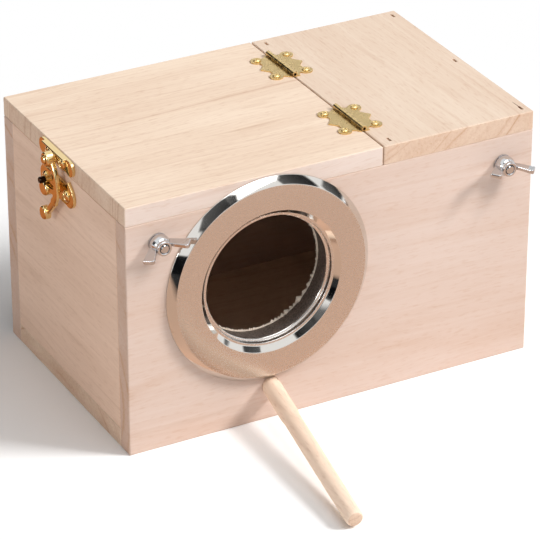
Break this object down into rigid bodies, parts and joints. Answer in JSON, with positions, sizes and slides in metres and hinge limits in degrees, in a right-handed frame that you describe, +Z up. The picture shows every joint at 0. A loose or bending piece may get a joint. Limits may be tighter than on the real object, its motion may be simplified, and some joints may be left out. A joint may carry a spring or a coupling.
{
  "type": "bird nesting box",
  "caption": "Wooden cage nesting box with a round metal-ringed entrance, dowel perch, hinged latching lid and wing-nut cage bolts.",
  "frame": {"origin": "middle of the box's underside", "axes": "+X to the right along the front, +Y to the back, +Z up; the entrance looks along -Y"},
  "size_m": [0.2085, 0.2202, 0.1226],
  "materials": {
    "pale_wood": "bare planed softwood, matte",
    "dowel_wood": "sanded dowel, matte",
    "chrome_ring": "polished bevels and a satin face",
    "grey_sleeve": "matte dark grey",
    "brass_plate": "brass-plated steel, semi-gloss",
    "gold_cast": "gold-plated casting, gloss",
    "zinc_steel": "bright zinc plate"
  },
  "bodies": {
    "box": {"front_panel": "pale_wood", "back_panel": "pale_wood", "left_end_panel": "pale_wood", "right_end_panel": "pale_wood", "floor_board": "pale_wood", "fixed_top": "pale_wood", "top_brads": "zinc_steel", "front_hinge_fixed_leaf": "brass_plate", "front_hinge_pin": "brass_plate", "rear_hinge_fixed_leaf": "brass_plate", "rear_hinge_pin": "brass_plate", "fixed_leaf_screws": "brass_plate", "latch_body_plate": "gold_cast", "latch_peg": "gold_cast", "latch_body_screws": "brass_plate", "entrance_ring": "chrome_ring", "entrance_sleeve": "grey_sleeve", "sleeve_screws": "zinc_steel", "perch": "dowel_wood", "left_bolt": "zinc_steel", "right_bolt": "zinc_steel", "left_inner_washer": "zinc_steel", "right_inner_washer": "zinc_steel"},
    "lid": {"lid": "pale_wood", "front_hinge_lid_leaf": "brass_plate", "rear_hinge_lid_leaf": "brass_plate", "lid_leaf_screws": "brass_plate", "latch_lid_plate": "gold_cast", "latch_lid_screws": "brass_plate", "latch_rivet": "gold_cast"},
    "latch_hook": {"latch_hook": "gold_cast"},
    "left_washer": {"left_outer_washer": "zinc_steel"},
    "left_wing_nut": {"left_wing_nut": "zinc_steel"},
    "right_washer": {"right_outer_washer": "zinc_steel"},
    "right_wing_nut": {"right_wing_nut": "zinc_steel"}
  },
  "joints": [
    {"name": "lid_hinge", "type": "hinge", "parent": "box", "child": "lid", "pos_m": [0.0241, 0, 0.1213], "axis": [0, 1, 0], "range_deg": [0, 165]},
    {"name": "hook_swing", "type": "hinge", "parent": "lid", "child": "latch_hook", "pos_m": [-0.1033, 0.0032, 0.1161], "axis": [-1, 0, 0], "range_deg": [0, 100]},
    {"name": "left_washer_slide", "type": "slide", "parent": "box", "child": "left_washer", "axis": [0, -1, 0], "range_m": [0, 0.00315]},
    {"name": "left_nut_turn", "type": "hinge", "parent": "left_washer", "child": "left_wing_nut", "pos_m": [-0.085, -0.0615, 0.1008], "axis": [0, -1, 0], "range_deg": [0, 1620]},
    {"name": "right_washer_slide", "type": "slide", "parent": "box", "child": "right_washer", "axis": [0, -1, 0], "range_m": [0, 0.00315]},
    {"name": "right_nut_turn", "type": "hinge", "parent": "right_washer", "child": "right_wing_nut", "pos_m": [0.0844, -0.0615, 0.0978], "axis": [0, -1, 0], "range_deg": [0, 1620]}
  ],
  "couplings": [
    {"joint": "left_washer_slide", "follows": "left_nut_turn", "m_per_rad": 0.00011141},
    {"joint": "right_washer_slide", "follows": "right_nut_turn", "m_per_rad": 0.00011141}
  ]
}
